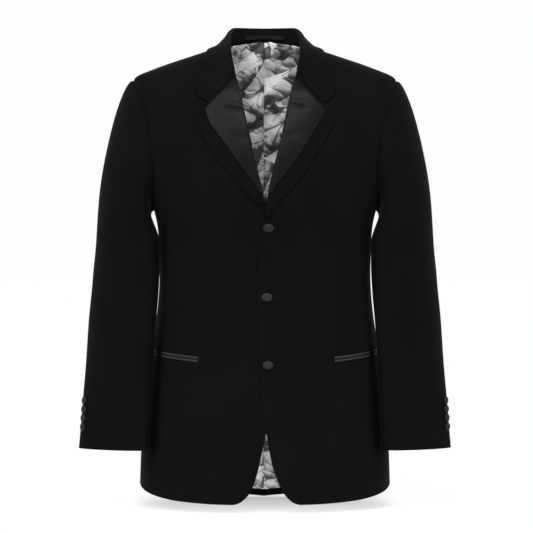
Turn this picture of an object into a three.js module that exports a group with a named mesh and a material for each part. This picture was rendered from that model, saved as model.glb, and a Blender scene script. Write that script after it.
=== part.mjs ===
import * as THREE from 'three';

// A worn single-breasted tuxedo jacket, hollow. Sizes in mm; X to the wearer's left, front faces -Y, Z up.
// The origin lies between the side neck points, where a wearer's shoulders hold the jacket.
const CLOTH = 1.8;
const SEAM = 0.3;
const OVERLAP_LIFT = 2.3;
const ROLL_RADIUS = 1.2;
const ROLL_REACH = ROLL_RADIUS + CLOTH;
const GORGE_HEIGHT = -48;

// The form of the body: height, half width, depth to the front, depth to the back, squareness of the ring.
const BODY = [
  [-780, 216, 129, 119, 2.3],
  [-678, 212.5, 127, 116, 2.3],
  [-600, 206, 126, 114, 2.3],
  [-520, 196.5, 125, 112, 2.3],
  [-440, 185, 124.5, 113, 2.3],
  [-389, 181, 125.5, 116, 2.3],
  [-330, 182, 128.5, 121, 2.35],
  [-300, 184, 130.5, 124, 2.4],
  [-272, 190, 132, 126, 2.45],
  [-240, 200, 132, 127.5, 2.5],
  [-190, 214, 127, 127, 2.5],
  [-165, 222, 121.5, 125, 2.5],
  [-145, 225, 116, 122, 2.5],
  [-111, 227, 105, 116, 2.5],
  [-70, 226.5, 88, 105, 2.5],
  [-45, 226, 70, 97, 2.4],
  [-38.8, 219.3, 66.5, 95, 2.35],
  [-28.5, 195.2, 63, 92, 2.3],
  [-18, 167.3, 59, 89, 2.3],
  [-7.7, 136.3, 54, 85, 2.3],
  [2.6, 105.4, 47, 80.5, 2.3],
  [9, 87, 42, 78, 2.25],
  [14, 76.5, 38, 76, 2.2],
  [27, 61, 32, 72, 2.2],
];

// The hem: angle from the centre front in degrees, height.
const HEM = [
  [0, -762],
  [20, -761],
  [40, -757.5],
  [60, -749.5],
  [75, -741.5],
  [92, -734.5],
  [117, -741],
  [145, -760],
  [180, -773],
];

// The armhole: angle and height, from the shoulder down the front, under the arm and up the back.
const ARMHOLE = [
  [90, -45], [85, -47], [80, -50], [74.5, -55.5], [67, -68], [60.5, -90],
  [57, -115], [55, -140], [54.6, -165], [56.3, -192], [60, -220],
  [64.5, -238], [70, -252], [78, -264], [87, -270], [96, -270], [105, -263.5], [112, -252],
  [117, -238], [121.5, -213], [124.8, -180], [125.3, -145], [123, -113],
  [118, -84], [111, -66], [104, -55], [98, -49.5], [94, -47],
];
const FRONT_SEAM = 10;
const BACK_SEAM = 18;
const INNER_SEAM = 12;
const HIND_SEAM = 22;

// How far up the side seams each row of the panels runs, from the hem to the armhole.
const SIDE_ROWS = [
  0, 0.016, 0.037, 0.0655, 0.126, 0.212, 0.307, 0.402, 0.497, 0.582, 0.668, 0.753, 0.829, 0.894, 0.951, 1,
];

// Front edges below the roll line: distance across from the centre towards the panel's own side, height.
const TOP_EDGE = [
  [55.5, -761],
  [44.4, -757.5],
  [33.5, -748],
  [22.4, -730.5],
  [8.6, -691.2],
  [-0.8, -636.5],
  [-9, -580],
  [-11.5, -525],
  [-13.4, -475],
  [-16, -420],
  [-14.8, -368],
  [-11.2, -318],
  [-5.6, -292],
];
const UNDER_EDGE = [
  [55, -761],
  [43.9, -757.5],
  [32.8, -748],
  [21.9, -730.5],
  [10.8, -691.2],
  [0, -640],
  [-15, -580],
  [-18.5, -525],
  [-19, -475],
  [-19, -420],
  [-19, -368],
  [-17, -318],
  [-10, -292],
];

// The roll line where the lapel turns: distance across, height.
const TOP_ROLL = [[-3, -281], [-1.2, -268], [0.8, -255], [14, -200], [25.3, -155], [39.9, -86.5], [49.4, GORGE_HEIGHT]];
const UNDER_ROLL = [[4, -261], [4.4, -256], [5.6, -249], [17, -204], [29.6, -146], [43.2, -82], [49.8, GORGE_HEIGHT]];

// The lapel's outer edge from the break to its point, and how far across the gorge ends.
const TOP_LAPEL = [[1.6, -285], [5, -279.5], [25, -253.5], [47, -231], [69, -200], [92, -163.5], [117, -121]];
const UNDER_LAPEL = [[8, -266], [11, -264], [16.2, -259.7], [49.5, -227], [83, -182.5], [106, -146.5], [117, -120.5]];
const NOTCH = 0.69;
const NOTCH_RISE = 5.5;

// The satin's outer edge, from the roll line to its corner under the notch, then on past the gorge.
const TOP_SATIN = [[3, -247], [8.5, -238], [25.2, -219.9], [47.2, -190.9], [69.6, -157.2], [94, -117], [100.5, -105.5], [97, -80]];
const UNDER_SATIN = [[7, -247], [12, -238], [38.5, -204.2], [71.9, -157.2], [92.1, -131], [102, -105.5], [98, -80]];
const SATIN_START = -243;
const SATIN_GAP = 0.9;

// Heights of the rows of the front on the roll line, then the points of its neck edge.
const ROLL_ROWS = [-281, -255, -226, -194, -160, -124, -86];
const NECK_EDGE = [[55.5, -46], [62.5, -29], [71.5, -12], [75.5, 2], [76, 10.5]];

// Rows of the back on the centre seam, then angle and height of its rows on the neck.
const BACK_CENTRE = [
  -773, -762, -748, -727, -690, -640, -585, -530, -478, -430, -380, -335, -297, -265, -240, -220,
  -175, -118, -62, -14,
];
const BACK_NECK = [[180, 27], [160, 26.2], [141, 24], [122, 20.8], [105, 17.2]];

// The sleeve below the armhole: height, centre across and front to back, half length, half thickness, turn.
const SLEEVE = [
  [-325, 237, -27, 59.5, 42, 42],
  [-365, 239.5, -27, 61, 41, 39],
  [-405, 242, -28, 62.5, 38.5, 37],
  [-445, 245, -31, 64, 35.5, 35],
  [-490, 247, -35, 65, 32, 33],
  [-540, 248.8, -39, 66, 29, 31],
  [-590, 252, -43, 66, 26.5, 28.5],
  [-635, 254.8, -45, 66, 25, 27],
  [-675, 257, -46, 67, 24, 26],
];
// The angle round the sleeve that each point of the armhole runs to.
const SLEEVE_TURNS = [
  20, 30, 40, 51, 63, 76, 90, 104, 119, 136, 158,
  176, 192, 207, 222, 236, 248, 259, 270, 283, 296, 310, 325,
  338, 349, 359, 367, 374,
];
const SLEEVE_STEPS = [0, 0.07, 0.17, 0.3, 0.44, 0.6, 0.78, 1];

// Half of the collar from the centre back to the gorge: fold line, then outer edge.
const COLLAR = [
  [0, 75, 53, 0, 86, 6],
  [20, 73, 53, 25, 85, 5.8],
  [38, 66, 52.7, 49, 78, 5.6],
  [51, 49, 50.5, 69.5, 59, 7.2],
  [57.5, 26, 43.5, 83, 31, 9],
  [58.8, 2, 32.5, 89.5, 4, 9.3],
  [58.5, -20, 20, 96, -17, 2],
  [58, -38, 6, 101.5, -41, -11],
  [56.3, -54, -10.4, 106.5, -58, -31],
  [53, -68, -28, 112, -70, -55],
  [49.8, -80, -46.2, 115.3, -85, -79],
];
const NOTCH_POINT = [96, -91.2];
const FALL_BULGE = 0.6;

const FRONT_BUTTONS = [[3.3, -303], [0.8, -417.7], [2.5, -530.4]];
const FRONT_BUTTON_RADIUS = 9.6;
const CUFF_BUTTON_HEIGHTS = [-594, -608.8, -623.6, -638.4];
const CUFF_BUTTON_RADIUS = 7;
const CUFF_BUTTON_TURN = 36;

// The breast welt: its lower front corner, then how far it runs across, up along it and up its side.
const WELT = { x: 60.6, z: -258, run: 95, slope: 25.5, height: 19.5 };
const JET = { x: 113.6, z: -520.5, slope: 0.095, length: 150, pieces: 9, height: 3.6, slit: 0.7, thickness: 1.2 };
const LINING_ABOVE_HEM = 12.5;
const LINING_GAP = 2.8;
const LOOP = { bottom: 0.27, top: 0.56, end: 0.175 };

const COLOURS = { wool: 0x111113, satin: 0x35363a, button: 0x3d3d40, lining: 0xb4b6bb };

// Curves through tables
function slopes(xs, ys) {
  const d = xs.slice(1).map((x, i) => (ys[i + 1] - ys[i]) / (x - xs[i]));
  return xs.map((_, i) => {
    if (i === 0) return d[0];
    if (i === d.length) return d[i - 1];
    return d[i - 1] * d[i] <= 0 ? 0 : (2 * d[i - 1] * d[i]) / (d[i - 1] + d[i]);
  });
}

function table(rows) {
  const xs = rows.map((r) => r[0]);
  const columns = rows[0].slice(1).map((_, c) => rows.map((r) => r[c + 1]));
  const tangents = columns.map((ys) => slopes(xs, ys));
  return (x) => {
    const at = Math.min(Math.max(x, xs[0]), xs[xs.length - 1]);
    let i = 0;
    while (i < xs.length - 2 && at > xs[i + 1]) i += 1;
    const h = xs[i + 1] - xs[i];
    const t = (at - xs[i]) / h;
    return columns.map((ys, c) => {
      const m = tangents[c];
      const a = (2 * t - 3) * t * t + 1;
      const b = ((t - 2) * t + 1) * t * h;
      const e = (t - 1) * t * t * h;
      return a * ys[i] + b * m[i] + (1 - a) * ys[i + 1] + e * m[i + 1];
    });
  };
}

function along(points) {
  const curve = new THREE.CatmullRomCurve3(points.map((p) => new THREE.Vector3(p[0], 0, p[1])), false, 'centripetal');
  return (t) => {
    const p = curve.getPoint(Math.min(Math.max(t, 0), 1));
    return [p.x, p.z];
  };
}

const vec = (x, y, z) => new THREE.Vector3(x, y, z);
const mix = (a, b, t) => a + (b - a) * t;
const ease = (x, from, to) => THREE.MathUtils.smoothstep(x, from, to);
const radians = THREE.MathUtils.degToRad;

// The form of the body, and its outward normals
const bodyAt = table(BODY);
const hemAt = (() => {
  const hem = table(HEM);
  return (angle) => hem(angle)[0];
})();

function skin(angle, z) {
  const [half, front, back, square] = bodyAt(z);
  const s = Math.sin(radians(angle));
  const c = Math.cos(radians(angle));
  const r = (Math.abs(s) ** square + Math.abs(c) ** square) ** (1 / square);
  return vec((half * s) / r, (-(c > 0 ? front : back) * c) / r, z);
}

function skinNormal(angle, z) {
  const across = skin(angle + 0.2, z).sub(skin(angle - 0.2, z));
  const up = skin(angle, z + 0.5).sub(skin(angle, z - 0.5));
  return across.cross(up).normalize();
}

function angleAt(x, z) {
  const [half, , , square] = bodyAt(z);
  const u = Math.min(Math.abs(x) / half, 1);
  return THREE.MathUtils.radToDeg(Math.atan2(u, (1 - u ** square) ** (1 / square))) * Math.sign(x || 1);
}

// How far the top front stands out where it laps over the other one.
function lift(x, z) {
  return OVERLAP_LIFT * (1 - ease(x, 26, 75)) * (1 - ease(z, -262, -215));
}

function chest(x, z, top) {
  const angle = angleAt(x, z);
  const n = skinNormal(angle, z);
  return { p: skin(angle, z).addScaledVector(n, top ? lift(x, z) : 0), n };
}

// How far a point stands off the body, and the way out.
function standOff(p) {
  const form = (q) => {
    const [half, front, back, square] = bodyAt(q.z);
    return (Math.abs(q.x / half) ** square + Math.abs(q.y / (q.y < 0 ? front : back)) ** square) ** (1 / square) - 1;
  };
  const h = 0.5;
  const g = vec(
    form(vec(p.x + h, p.y, p.z)) - form(vec(p.x - h, p.y, p.z)),
    form(vec(p.x, p.y + h, p.z)) - form(vec(p.x, p.y - h, p.z)),
    form(vec(p.x, p.y, p.z + h)) - form(vec(p.x, p.y, p.z - h)),
  ).divideScalar(2 * h);
  const size = g.length();
  return { distance: form(p) / size, n: g.divideScalar(size) };
}

function pushedOut(p, least) {
  const q = p.clone();
  for (let i = 0; i < 4; i += 1) {
    const { distance, n } = standOff(q);
    if (distance < least) q.addScaledVector(n, least - distance);
  }
  return q;
}

// Solids from grids of points
function bodyOf(outer, inner) {
  const rows = outer.length;
  const cols = outer[0].length;
  const points = [...outer.flat(), ...inner.flat()];
  const o = (i, j) => i * cols + j;
  const n = (i, j) => rows * cols + i * cols + j;
  const faces = [];
  const quad = (a, b, c, d) => faces.push(a, b, c, a, c, d);
  for (let i = 0; i < rows - 1; i += 1) {
    for (let j = 0; j < cols - 1; j += 1) {
      quad(o(i, j), o(i, j + 1), o(i + 1, j + 1), o(i + 1, j));
      quad(n(i, j), n(i + 1, j), n(i + 1, j + 1), n(i, j + 1));
    }
    quad(o(i, 0), o(i + 1, 0), n(i + 1, 0), n(i, 0));
    quad(o(i, cols - 1), n(i, cols - 1), n(i + 1, cols - 1), o(i + 1, cols - 1));
  }
  for (let j = 0; j < cols - 1; j += 1) {
    quad(o(0, j), n(0, j), n(0, j + 1), o(0, j + 1));
    quad(o(rows - 1, j), o(rows - 1, j + 1), n(rows - 1, j + 1), n(rows - 1, j));
  }
  return meshFrom(points, faces);
}

function meshFrom(points, faces) {
  const geometry = new THREE.BufferGeometry();
  geometry.setAttribute('position', new THREE.Float32BufferAttribute(points.flatMap((p) => [p.x, p.y, p.z]), 3));
  geometry.setIndex(faces);
  geometry.computeVertexNormals();
  return geometry;
}

// A wall under a grid of { p, n }: n points out, and the grid runs so that across times up points out.
function wall(grid, thickness, offset = 0) {
  const level = (d) => grid.map((row) => row.map(({ p, n }) => p.clone().addScaledVector(n, d)));
  return bodyOf(level(offset), level(offset - thickness));
}

function gridOf(rows, cols, at) {
  const steps = (n) => (Array.isArray(n) ? n : Array.from({ length: n }, (_, i) => i / (n - 1)));
  return steps(rows).map((v) => steps(cols).map((u) => at(u, v)));
}

// The grid of a surface given by points only, with normals from its slopes.
function surface(at, h = 1e-3) {
  return (u, v) => {
    const clamp = (t) => Math.min(Math.max(t, 0), 1);
    const across = at(clamp(u + h), v).sub(at(clamp(u - h), v));
    const up = at(u, clamp(v + h)).sub(at(u, clamp(v - h)));
    return { p: at(u, v), n: across.cross(up).normalize() };
  };
}

const group = new THREE.Group();
const materials = {};

function add(name, geometry, cloth) {
  materials[cloth] ??= COLOURS[cloth];
  const material = new THREE.MeshStandardMaterial({ color: materials[cloth], roughness: cloth === 'wool' ? 0.9 : 0.4 });
  material.name = cloth;
  const mesh = new THREE.Mesh(geometry, material);
  mesh.name = name;
  group.add(mesh);
}

// The same solid on the other side of the centre plane.
function mirrored(geometry) {
  const other = geometry.clone();
  const at = other.attributes.position;
  for (let i = 0; i < at.count; i += 1) at.setX(i, -at.getX(i));
  const index = other.index.array;
  for (let i = 0; i < index.length; i += 3) [index[i + 1], index[i + 2]] = [index[i + 2], index[i + 1]];
  other.computeVertexNormals();
  return other;
}

const halfSeam = THREE.MathUtils.radToDeg(SEAM / 2 / 195);
const shoulderSeam = 0.25;

// Fronts
function rollEdge(roll) {
  const line = table([...roll].map(([x, z]) => [z, x]));
  return (z) => line(z)[0];
}

function frontGrid(edge, roll, top) {
  const rollAt = rollEdge(roll);
  const starts = [
    ...edge.map(([x, z]) => [angleAt(x, z), z]),
    ...ROLL_ROWS.map((z) => [angleAt(rollAt(z) + ROLL_REACH + 0.6, z), z]),
    ...NECK_EDGE.map(([x, z]) => [angleAt(x, z), z]),
  ];
  const [seamAngle, seamTop] = ARMHOLE[FRONT_SEAM];
  const ends = [
    ...SIDE_ROWS.map((f) => [seamAngle, mix(hemAt(seamAngle), seamTop, f)]),
    ...ARMHOLE.slice(1, FRONT_SEAM).reverse(),
  ];
  const rows = starts.map((start, i) => [...start, ...ends[i]]);
  rows.push([90 - shoulderSeam, 14, 90 - shoulderSeam, -45]);
  const steps = [0, 0.04, 0.1, 0.18, 0.27, 0.37, 0.48, 0.6, 0.72, 0.86, 1];
  return rows.map(([a, za, b, zb], i) => steps.map((u) => {
    const angle = mix(a, b - halfSeam, u);
    const z = i === 0 ? mix(za, hemAt(angle), ease(u, 0, 0.1)) : mix(za, zb, u);
    const n = skinNormal(angle, z);
    const p = skin(angle, z);
    return { p: p.addScaledVector(n, top ? lift(p.x, z) : 0), n };
  }));
}

add('front_left', wall(frontGrid(TOP_EDGE, TOP_ROLL, true), CLOTH), 'wool');
add('front_right', mirrored(wall(frontGrid(UNDER_EDGE, UNDER_ROLL, false), CLOTH)), 'wool');

// Side bodies
const sideTops = ARMHOLE.slice(FRONT_SEAM, BACK_SEAM + 1);
const sideGrid = gridOf(SIDE_ROWS, sideTops.length, (u, v) => {
  const [angle, top] = sideTops[Math.round(u * (sideTops.length - 1))];
  const at = angle + (u === 0 ? halfSeam : 0) - (u === 1 ? halfSeam : 0);
  const z = mix(hemAt(at), top, v);
  return { p: skin(at, z), n: skinNormal(at, z) };
});
add('side_left', wall(sideGrid, CLOTH), 'wool');
add('side_right', mirrored(wall(sideGrid, CLOTH)), 'wool');

// Backs
const backAcross = [1, 0.9, 0.78, 0.65, 0.52, 0.4, 0.29, 0.19, 0.1, 0.03, 0];

function backGrid(steps, inset) {
  const [seamAngle, seamTop] = ARMHOLE[BACK_SEAM];
  const starts = [...BACK_CENTRE.map((z) => [180 - halfSeam, z]), ...BACK_NECK];
  const ends = [
    ...SIDE_ROWS.map((f) => [seamAngle, mix(hemAt(seamAngle), seamTop, f)]),
    ...ARMHOLE.slice(BACK_SEAM + 1),
  ];
  const rows = starts.map(([angle, z], i) => [Math.min(angle, 180 - halfSeam), z, ends[i][0] + halfSeam, ends[i][1]]);
  rows.push([90 + shoulderSeam, 14, 90 + shoulderSeam, -45]);
  return rows.map(([a, za, b, zb], i) => steps.map((u) => {
    const angle = mix(a, b, u);
    const z = i === 0 ? hemAt(angle) + inset : mix(za, zb, u);
    return { p: skin(angle, z), n: skinNormal(angle, z) };
  }));
}
const back = wall(backGrid(backAcross, 0), CLOTH);
add('back_left', back, 'wool');
add('back_right', mirrored(back), 'wool');

// Back lining: every other row of the back, further in and short of its hem
const liningAcross = [0.97, 0.8, 0.6, 0.4, 0.2, 0.08, 0];
const liningRows = backGrid(liningAcross, LINING_ABOVE_HEM).filter((_, i) => i % 2 === 0 || i > 19);
const lining = wall(liningRows.slice(0, -1), 1, -CLOTH - LINING_GAP);
add('lining_left', lining, 'lining');
add('lining_right', mirrored(lining), 'lining');

// Sleeves
const ovalAt = table(SLEEVE.map((r) => r).reverse());

function oval(turn, z) {
  const [x, y, long, thick, twist] = ovalAt(z);
  const c = Math.cos(radians(turn));
  const s = Math.sin(radians(turn));
  const tc = Math.cos(radians(twist));
  const ts = Math.sin(radians(twist));
  return vec(x + long * c * tc + thick * s * ts, y + long * c * ts - thick * s * tc, z);
}

const armhole = ARMHOLE.map(([angle, z]) => {
  const p = skin(angle, z);
  const towards = skin(mix(angle, 90, 0.02), mix(z, -160, 0.02)).sub(p).normalize();
  const out = vec(1, (0.4 * p.y) / 75, -0.12).normalize();
  return { p: p.addScaledVector(towards, SEAM + 0.1).addScaledVector(out, SEAM), out };
});

function sleevePoint(k, v) {
  const i = Math.floor(k + 1e-9);
  const f = k - i;
  const count = ARMHOLE.length;
  const round = (j) => SLEEVE_TURNS[j % count] + 360 * Math.floor(j / count);
  const turn = mix(round(i), round(i + 1), f);
  const top = armhole[i % count].p.clone().lerp(armhole[(i + 1) % count].p, f);
  const out = armhole[i % count].out.clone().lerp(armhole[(i + 1) % count].out, f);
  if (v > 1) return oval(turn, mix(SLEEVE[0][0], SLEEVE[SLEEVE.length - 1][0], v - 1));
  const end = oval(turn, SLEEVE[0][0]);
  const reach = top.distanceTo(end);
  const under = (1 - Math.cos(radians(turn - 20))) / 2;
  const a = top.clone().addScaledVector(out, reach * mix(0.085, 0.2, under));
  const b = end.clone().add(vec(0, 0, 0.4 * reach));
  return new THREE.CubicBezierCurve3(top, a, b, end).getPoint(v);
}

function sleeve(from, to) {
  const last = SLEEVE[SLEEVE.length - 1][0] - SLEEVE[0][0];
  const rows = [...SLEEVE_STEPS, ...SLEEVE.slice(1).map((r) => 1 + (r[0] - SLEEVE[0][0]) / last)];
  const columns = Array.from({ length: to - from + 1 }, (_, i) => from + i);
  columns[0] += 0.012;
  columns[columns.length - 1] -= 0.012;
  const h = 1e-3;
  const grid = rows.map((v) => columns.map((k) => {
    const across = sleevePoint(k + 0.2, v).sub(sleevePoint(k - 0.2, v));
    const down = sleevePoint(k, Math.min(v + h, 2)).sub(sleevePoint(k, Math.max(v - h, 0)));
    return { p: sleevePoint(k, v), n: across.cross(down).normalize() };
  }));
  return wall(grid, CLOTH);
}

const upper = sleeve(HIND_SEAM, ARMHOLE.length + INNER_SEAM);
const under = sleeve(INNER_SEAM, HIND_SEAM);
add('sleeve_upper_left', upper, 'wool');
add('sleeve_upper_right', mirrored(upper), 'wool');
add('sleeve_under_left', under, 'wool');
add('sleeve_under_right', mirrored(under), 'wool');

// Lapels: a fold at the roll line, then cloth that comes to rest on the chest
const FOLD = 0.3;

function lapelSurface(roll, edge, top) {
  const rollAt = along(roll);
  const edgeAt = along(edge);
  return (u, v) => {
    const [xr, zr] = rollAt(v);
    const [xa, za] = rollAt(v - 0.02);
    const [xb, zb] = rollAt(v + 0.02);
    const size = Math.hypot(xb - xa, zb - za);
    const turn = [(zb - za) / size, (xa - xb) / size];
    const [xc, zc] = [xr + ROLL_REACH * turn[0], zr + ROLL_REACH * turn[1]];
    const [xe, ze] = edgeAt(v);
    const w = Math.max((u - FOLD) / (1 - FOLD), 0);
    const rise = NOTCH_RISE * v ** 6 * (w < NOTCH ? w / NOTCH : (1 - w) / (1 - NOTCH));
    const { p, n } = chest(mix(xc, xe, w), mix(zc, ze, w) + rise, top);
    if (u >= FOLD) {
      const height = mix(2 * ROLL_RADIUS, 0.9, w) + 1.6 * Math.sin(Math.PI * w);
      return p.addScaledVector(n, height + CLOTH);
    }
    const inward = chest(xc - turn[0], zc - turn[1], top).p.sub(p);
    inward.addScaledVector(n, -inward.dot(n)).normalize();
    const angle = radians(mix(-90, 90, u / FOLD));
    return p
      .addScaledVector(n, ROLL_RADIUS + ROLL_REACH * Math.sin(angle))
      .addScaledVector(inward, ROLL_REACH * Math.cos(angle));
  };
}

const LAPEL_ROWS = 17;
const lapelAcross = [0, 0.075, 0.15, 0.225, 0.3, 0.42, 0.55, 0.68, 0.783, 0.9, 1];
function lapel(surfaceAt) {
  return gridOf(LAPEL_ROWS, lapelAcross, surface(surfaceAt));
}

const topLapel = lapelSurface(TOP_ROLL, TOP_LAPEL, true);
const underLapel = lapelSurface(UNDER_ROLL, UNDER_LAPEL, false);
add('lapel_left', wall(lapel(topLapel), CLOTH), 'wool');
add('lapel_right', mirrored(wall(lapel(underLapel), CLOTH)), 'wool');

// Satin set on the lapel, inside its border
const SATIN_TOP = 0.975;
const SATIN_END = 0.9;
const SATIN_ROWS = 14;
const satinAcross = [0.15, 0.225, 0.3, 0.35, 0.7, 1];

// How far along the line from a to b it meets a chain of points.
function crossing(a, b, chain) {
  const side = ([x, z]) => (b[0] - a[0]) * (z - a[1]) - (b[1] - a[1]) * (x - a[0]);
  for (let i = 0; i < chain.length - 1; i += 1) {
    const [p, q] = [chain[i], chain[i + 1]];
    if (side(p) <= 0 && side(q) > 0) {
      const t = side(p) / (side(p) - side(q));
      const [x, z] = [mix(p[0], q[0], t), mix(p[1], q[1], t)];
      return ((x - a[0]) * (b[0] - a[0]) + (z - a[1]) * (b[1] - a[1])) / ((b[0] - a[0]) ** 2 + (b[1] - a[1]) ** 2);
    }
  }
  return 1;
}

function satin(surfaceAt, roll, edge, chain) {
  const rollAt = along(roll);
  const edgeAt = along(edge);
  const at = surface(surfaceAt);
  let start = 0;
  while (rollAt(start)[1] < SATIN_START) start += 0.005;
  return gridOf(SATIN_ROWS, satinAcross, (u, t) => {
    const v = mix(start, SATIN_TOP, t);
    if (u <= FOLD) return at(u, v);
    const [xr, zr] = rollAt(v);
    const reach = Math.max(crossing([xr + ROLL_REACH, zr], edgeAt(v), chain), 0.12);
    return at(mix(FOLD, 1, u * Math.min(reach, SATIN_END)), v);
  });
}
const topSatin = satin(topLapel, TOP_ROLL, TOP_LAPEL, TOP_SATIN);
const underSatin = satin(underLapel, UNDER_ROLL, UNDER_LAPEL, UNDER_SATIN);
add('satin_left', wall(topSatin, 1, 1 + SATIN_GAP), 'satin');
add('satin_right', mirrored(wall(underSatin, 1, 1 + SATIN_GAP)), 'satin');

// Collar
const collarLines = [0, 3].map((c) => new THREE.CatmullRomCurve3(
  COLLAR.map((r) => vec(r[c], r[c + 1], r[c + 2])), false, 'centripetal'));
// The neck seam runs through the corners of the panels, one for each row of the table.
const neckLine = new THREE.CatmullRomCurve3([
  ...BACK_NECK.map(([angle, z]) => skin(angle, z)),
  skin(90, 14),
  ...[...NECK_EDGE].reverse().map(([x, z]) => skin(angleAt(x, z), z)),
], false, 'centripetal');

function collarFrame(t) {
  const fold = collarLines[0].getPoint(t);
  const tangent = collarLines[0].getPoint(Math.min(t + 0.01, 1)).sub(collarLines[0].getPoint(Math.max(t - 0.01, 0)));
  tangent.normalize();
  const fall = collarLines[1].getPoint(t).sub(fold).normalize();
  const stand = neckLine.getPoint(t).sub(fold);
  const size = stand.length();
  stand.divideScalar(Math.max(size, 1)).multiplyScalar(ease(size, 4, 20));
  const out = fall.clone().add(stand);
  out.addScaledVector(tangent, -out.dot(tangent)).normalize().negate();
  const n = out.clone().cross(tangent).normalize();
  return { fold, out, n, base: fold.clone().addScaledVector(out, -ROLL_REACH).addScaledVector(n, -ROLL_RADIUS) };
}

function fallPoint(u, t) {
  const { out, n, base } = collarFrame(t);
  if (u < FOLD) {
    const turn = radians(mix(-90, 90, u / FOLD));
    return base
      .addScaledVector(n, ROLL_RADIUS + ROLL_REACH * Math.sin(turn))
      .addScaledVector(out, ROLL_REACH * Math.cos(turn));
  }
  const w = (u - FOLD) / (1 - FOLD);
  const start = base.addScaledVector(n, 2 * ROLL_RADIUS + CLOTH);
  const p = start.lerp(collarLines[1].getPoint(t), w).addScaledVector(n, FALL_BULGE * Math.sin(Math.PI * w));
  return pushedOut(p, CLOTH + mix(2 * ROLL_RADIUS, 1.2, w) + FALL_BULGE * Math.sin(Math.PI * w));
}

// The front end of the collar follows the gorge to the notch, then runs out to its tip.
function collarPoint(u, t) {
  const p = fallPoint(u, t);
  if (u < FOLD || t < 0.8) return p;
  const w = (u - FOLD) / (1 - FOLD);
  const near = ease(t, 0.8, 1);
  const dip = near * (w < 0.72 ? w / 0.72 : (1 - w) / 0.28);
  const [xn, zn] = NOTCH_POINT;
  const end = fallPoint(FOLD + 0.72 * (1 - FOLD), 1);
  const moved = p.add(vec((xn - end.x) * dip, 0, (zn - end.z) * dip));
  const { n } = chest(moved.x, moved.z, false);
  const flat = chest(moved.x, moved.z, false).p;
  return moved.lerp(flat.addScaledVector(n, CLOTH + mix(2 * ROLL_RADIUS, 0.9, w) + 1.6 * Math.sin(Math.PI * w)), near);
}

const collarAcross = [0, 0.1, 0.2, 0.3, 0.45, 0.6, 0.804, 0.9, 1];
const COLLAR_STEPS = 14;

// Rows from the left front end round the back to the right one.
function bothHalves(half) {
  const centre = half[half.length - 1];
  centre.forEach(({ p, n }) => {
    p.setX(0);
    n.setX(0).normalize();
  });
  const other = half.slice(0, -1).reverse().map((row) => row.map(({ p, n }) => ({
    p: vec(-p.x, p.y, p.z),
    n: vec(-n.x, n.y, n.z),
  })));
  return [...half, ...other];
}
const fall = gridOf(COLLAR_STEPS, collarAcross, surface((u, v) => collarPoint(u, 1 - v)));
add('collar_fall', wall(bothHalves(fall), CLOTH), 'wool');

// The stand rises from the neck seam to just under the fold.
const STAND = 1.6;
const STAND_ROWS = [9, 8, 7, 6, 5, 4, 3, 2, 1, 0].map((row) => row / 10);
function standPoint(u, t) {
  const { out, n, base } = collarFrame(t);
  const seam = neckLine.getPoint(t);
  const { n: low } = standOff(seam);
  const top = base.clone().addScaledVector(out, -0.5);
  const rise = top.clone().sub(seam).normalize();
  return {
    p: seam.addScaledVector(rise, SEAM + 0.3).lerp(top, u),
    n: low.lerp(n, u).normalize(),
  };
}
const stand = gridOf(STAND_ROWS, [1, 0.5, 0], standPoint);
add('collar_stand', wall(bothHalves(stand), STAND), 'wool');

// Hanger loop, on the inside of the stand
const loopHalf = gridOf(5, [LOOP.top, LOOP.bottom], (u, v) => standPoint(u, (1 - v) * LOOP.end));
add('hanger_loop', wall(bothHalves(loopHalf), 1, -STAND - 1.2), 'satin');

// Pockets
const weltGrid = gridOf(2, 7, (u, v) => chest(WELT.x + WELT.run * u, WELT.z + WELT.slope * u + WELT.height * v, true));
add('pocket_welt', wall(weltGrid, CLOTH, CLOTH + 2 * SEAM), 'wool');

function jet(upper) {
  const start = angleAt(JET.x, JET.z);
  const angles = [start];
  const step = JET.length / JET.pieces;
  while (angles.length <= JET.pieces) {
    let angle = angles[angles.length - 1];
    const from = skin(angle, JET.z);
    while (skin(angle, JET.z).distanceTo(from) < step) angle += 0.05;
    angles.push(angle);
  }
  const low = upper ? JET.slit / 2 : -JET.slit / 2 - JET.height;
  return wall(gridOf(2, angles.length, (u, v) => {
    const angle = angles[Math.round(u * JET.pieces)];
    const z = JET.z + JET.slope * JET.length * u + low + JET.height * v;
    return { p: skin(angle, z), n: skinNormal(angle, z) };
  }), JET.thickness, JET.thickness + SEAM);
}
for (const upper of [true, false]) {
  const strip = jet(upper);
  add(`jet_${upper ? 'upper' : 'lower'}_left`, strip, 'satin');
  add(`jet_${upper ? 'upper' : 'lower'}_right`, mirrored(strip), 'satin');
}

// Covered buttons: a low dome turned about the normal of the cloth
const DOME = [[0.93, 0], [1, 1.1], [0.95, 2.4], [0.62, 3.7]];
const DOME_TOP = 4.2;

function button(p, n, radius) {
  const side = vec(0, 0, 1).cross(n).normalize();
  const up = n.clone().cross(side);
  const around = 18;
  const at = (r, h, k) => p.clone()
    .addScaledVector(n, h)
    .addScaledVector(side, r * Math.cos((2 * Math.PI * k) / around))
    .addScaledVector(up, r * Math.sin((2 * Math.PI * k) / around));
  const points = DOME.flatMap(([r, h]) => Array.from({ length: around }, (_, k) => at(r * radius, h, k)));
  points.push(p.clone(), p.clone().addScaledVector(n, DOME_TOP));
  const faces = [];
  for (let k = 0; k < around; k += 1) {
    const next = (k + 1) % around;
    faces.push(next, k, points.length - 2);
    for (let ring = 0; ring < DOME.length - 1; ring += 1) {
      const a = ring * around;
      const b = a + around;
      faces.push(a + k, a + next, b + next, a + k, b + next, b + k);
    }
    const last = (DOME.length - 1) * around;
    faces.push(last + k, last + next, points.length - 1);
  }
  return meshFrom(points, faces);
}

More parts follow.
